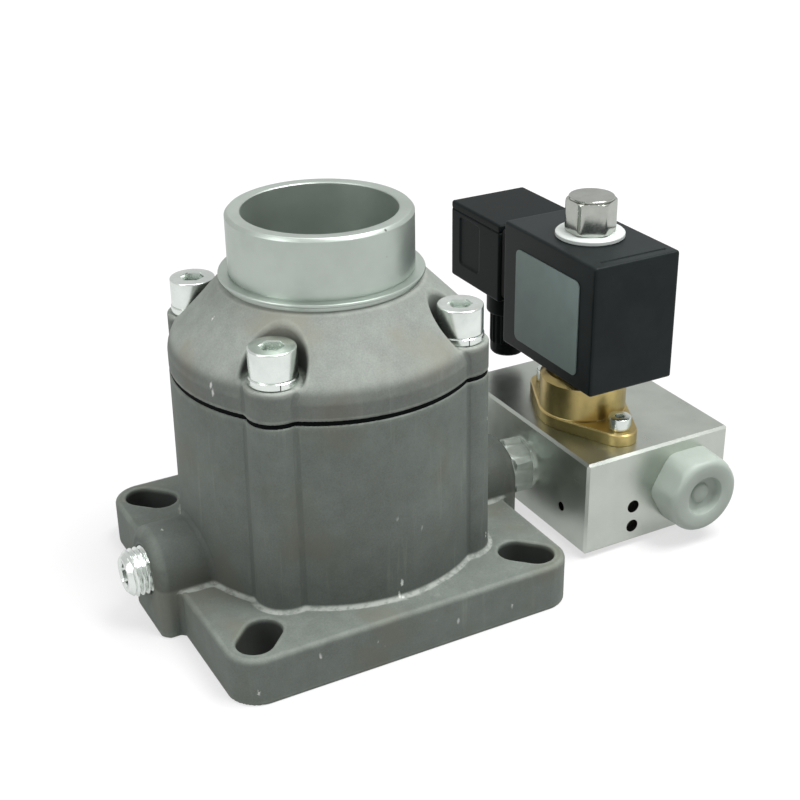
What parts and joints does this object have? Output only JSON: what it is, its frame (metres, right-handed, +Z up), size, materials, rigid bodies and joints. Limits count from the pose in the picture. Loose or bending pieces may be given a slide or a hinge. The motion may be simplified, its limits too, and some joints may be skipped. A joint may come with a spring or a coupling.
{
  "type": "compressor intake valve",
  "caption": "Flanged air intake valve with a round inlet neck, a sprung poppet disc inside and a solenoid-controlled side manifold.",
  "frame": {"origin": "centre of the square base's underside, on the axis of the inlet neck", "axes": "+Z up along the inlet neck; the manifold block lies at +X; the plugged side port points to -X; the block's capped port faces -Y"},
  "size_m": [0.1864, 0.106, 0.1149],
  "materials": {
    "cast_body": "sand-cast, blasted and matt, with handling scuffs",
    "cast_cover": "cast and blasted, machined neck",
    "gasket": "flat black sealing sheet",
    "zinc": "bright zinc plated",
    "turned_aluminium": "turned",
    "rubber": "moulded black",
    "steel": "ground steel",
    "spring_steel": "drawn wire",
    "bronze": "sintered bronze",
    "machined_block": "milled and lightly anodised",
    "cap_plastic": "milky white moulded plastic",
    "brass": "turned brass",
    "coil_resin": "black moulded resin",
    "label": "bare grey plate",
    "nylon": "white nylon",
    "chrome": "bright nickel plated"
  },
  "bodies": {
    "housing": {"valve_body": "cast_body", "inlet_cover": "cast_cover", "cover_gasket": "gasket", "cover_screws": "zinc", "cover_lock_washers": "zinc", "return_spring": "spring_steel", "cylinder_cap": "turned_aluminium", "guide_bush": "bronze", "retaining_ring": "spring_steel", "port_plug": "zinc", "hex_nipple": "zinc", "nipple_washers": "zinc", "manifold_block": "machined_block", "port_cap": "cap_plastic", "solenoid_base": "brass", "base_oring": "rubber", "base_screws": "zinc", "armature_tube": "steel", "plunger_spring": "spring_steel", "coil": "coil_resin", "coil_label": "label", "coil_washer": "nylon", "coil_nut": "chrome", "connector_gasket": "rubber", "connector_housing": "coil_resin", "connector_screw": "zinc", "gland_nut": "coil_resin", "gland_seal": "rubber"},
    "valve": {"valve_disc": "turned_aluminium", "disc_seal": "rubber", "valve_stem": "steel", "stem_nuts": "zinc", "piston": "turned_aluminium", "piston_seal": "rubber"},
    "plunger": {"plunger": "steel", "plunger_seal": "rubber"}
  },
  "joints": [
    {"name": "valve_lift", "type": "slide", "parent": "housing", "child": "valve", "axis": [0, 0, 1], "range_m": [-0.01, 0], "stiffness_N_per_m": 800, "springref_m": 0.01, "deforming": ["return_spring"]},
    {"name": "plunger_lift", "type": "slide", "parent": "housing", "child": "plunger", "axis": [0, 0, 1], "range_m": [0, 0.002], "stiffness_N_per_m": 500, "springref_m": -0.004, "deforming": ["plunger_spring"]}
  ]
}
